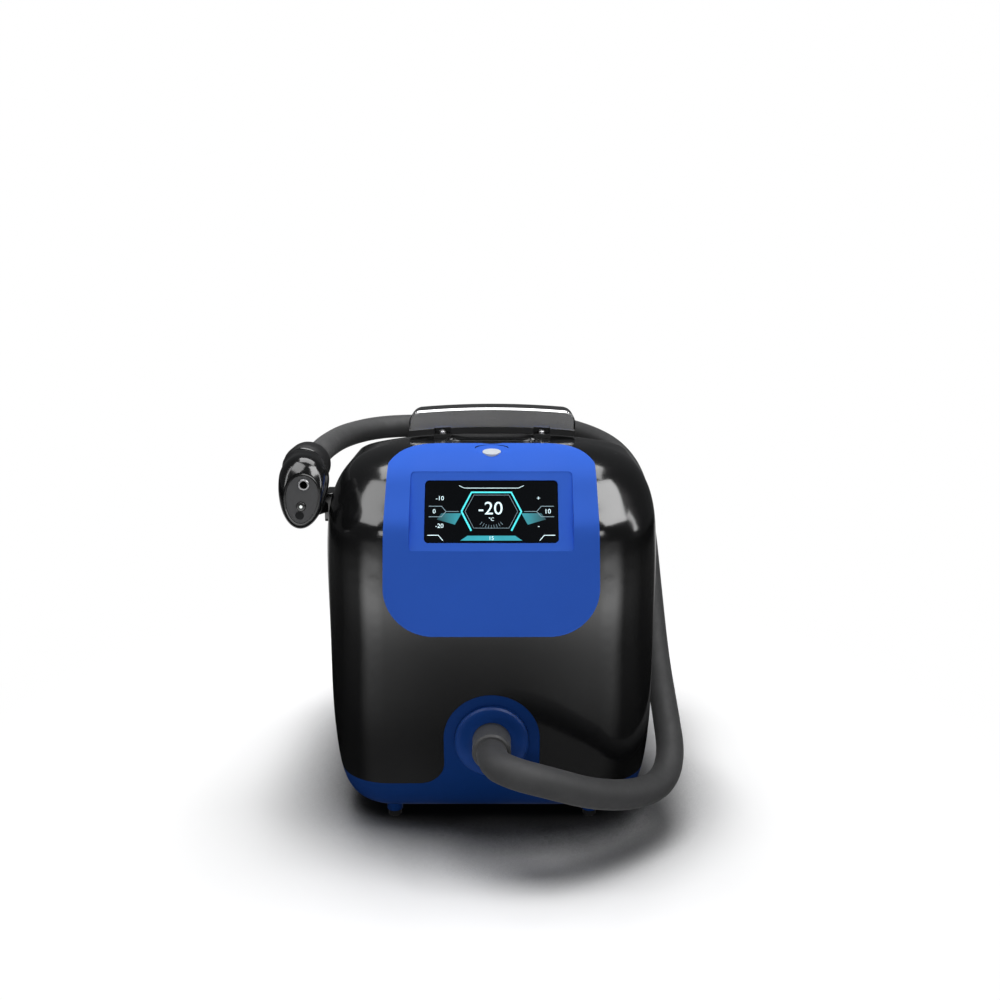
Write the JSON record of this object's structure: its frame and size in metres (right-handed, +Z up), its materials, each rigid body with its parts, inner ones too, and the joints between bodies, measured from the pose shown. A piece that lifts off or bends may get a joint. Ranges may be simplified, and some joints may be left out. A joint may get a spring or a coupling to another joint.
{
  "type": "cold air therapy device",
  "caption": "Desktop cold air therapy unit with a tilted display, power button, carry handle and a hose to a docked handpiece.",
  "frame": {"origin": "on the floor under the middle of the housing with its docked handpiece, the hose left out", "axes": "+Z up, -Y towards the user in front of the display, +X to the user's right"},
  "size_m": [0.4636, 0.5104, 0.4825],
  "materials": {
    "blue_base": "satin, dark blue",
    "blue_fascia": "satin, mid blue",
    "black_gloss": "high gloss, black",
    "black_matte": "fine texture, black",
    "grey_plastic": "satin, grey",
    "light_plastic": "satin, light grey",
    "rubber": "matt",
    "hose_rubber": "smooth, dark grey",
    "display_glass": "dark, glossy",
    "steel": "plain",
    "painted_steel": "black paint",
    "copper": "drawn copper pipe",
    "fins": "bare",
    "foam": "insulating foam",
    "board": "circuit board",
    "filter": "fine mesh in a frame",
    "led": "lit lens"
  },
  "bodies": {
    "housing": {"base_tray": "blue_base", "housing_shell": "black_gloss", "housing_screws": "steel", "rubber_feet": "rubber", "foot_screws": "steel", "rear_cover": "black_matte", "rear_cover_screws": "steel", "air_filter": "filter", "front_fascia": "blue_fascia", "display_glass": "display_glass", "display_module": "grey_plastic", "display_screws": "steel", "button_switch": "black_matte", "carry_handle_grip": "grey_plastic", "carry_handle_rail": "black_matte", "handle_screws": "steel", "port_ring": "blue_base", "hose_collar": "rubber", "port_spigot": "black_matte", "air_duct": "black_matte", "hose": "hose_rubber", "handpiece_holder": "black_gloss", "holder_screws": "steel", "chassis_plate": "steel", "chassis_screws": "steel", "compressor": "painted_steel", "compressor_grommets": "rubber", "accumulator": "painted_steel", "condenser_coil": "fins", "fan_shroud": "painted_steel", "fan_motor": "painted_steel", "evaporator_box": "foam", "evaporator_lid": "foam", "evaporator_coil": "fins", "evaporator_stand": "steel", "blower_volute": "black_matte", "blower_motor": "painted_steel", "blower_elbow": "black_matte", "discharge_pipe": "copper", "suction_pipe": "copper", "liquid_line": "copper", "condensate_bottle": "light_plastic", "drain_tube": "rubber", "control_board": "board", "power_supply": "painted_steel", "mains_inlet": "black_matte", "mains_switch_frame": "black_matte"},
    "power_button": {"power_button": "light_plastic"},
    "mains_rocker": {"mains_rocker": "black_matte"},
    "condenser_fan": {"condenser_fan": "black_matte"},
    "blower_wheel": {"blower_wheel": "black_matte"},
    "handpiece": {"handpiece_shell": "black_gloss", "handpiece_face_plate": "grey_plastic", "nozzle_ring": "black_gloss", "nozzle_duct": "black_matte", "handpiece_collar": "black_matte", "handpiece_lens": "display_glass", "handpiece_board": "board"},
    "trigger_button": {"trigger_button": "black_gloss", "trigger_led": "led"}
  },
  "joints": [
    {"name": "power_button_press", "type": "slide", "parent": "housing", "child": "power_button", "axis": [0, 0.1392, -0.9903], "range_m": [0, 0.0015], "stiffness_N_per_m": 600, "springref_m": -0.0004},
    {"name": "mains_rocker_tilt", "type": "hinge", "parent": "housing", "child": "mains_rocker", "pos_m": [-0.0335, 0.2073, 0.11], "axis": [1, 0, 0], "range_deg": [0, 16]},
    {"name": "condenser_fan_spin", "type": "hinge", "parent": "housing", "child": "condenser_fan", "pos_m": [0.0825, 0.1245, 0.15], "axis": [0, 1, 0], "continuous": true},
    {"name": "blower_wheel_spin", "type": "hinge", "parent": "housing", "child": "blower_wheel", "pos_m": [0.0225, -0.0225, 0.358], "axis": [0, 0, 1], "continuous": true},
    {"name": "handpiece_lift", "type": "slide", "parent": "housing", "child": "handpiece", "axis": [0, 0, 1], "range_m": [0, 0.04], "deforming": ["hose"]},
    {"name": "trigger_press", "type": "slide", "parent": "handpiece", "child": "trigger_button", "axis": [0, 1, 0], "range_m": [0, 0.001], "stiffness_N_per_m": 400, "springref_m": -0.0004}
  ]
}
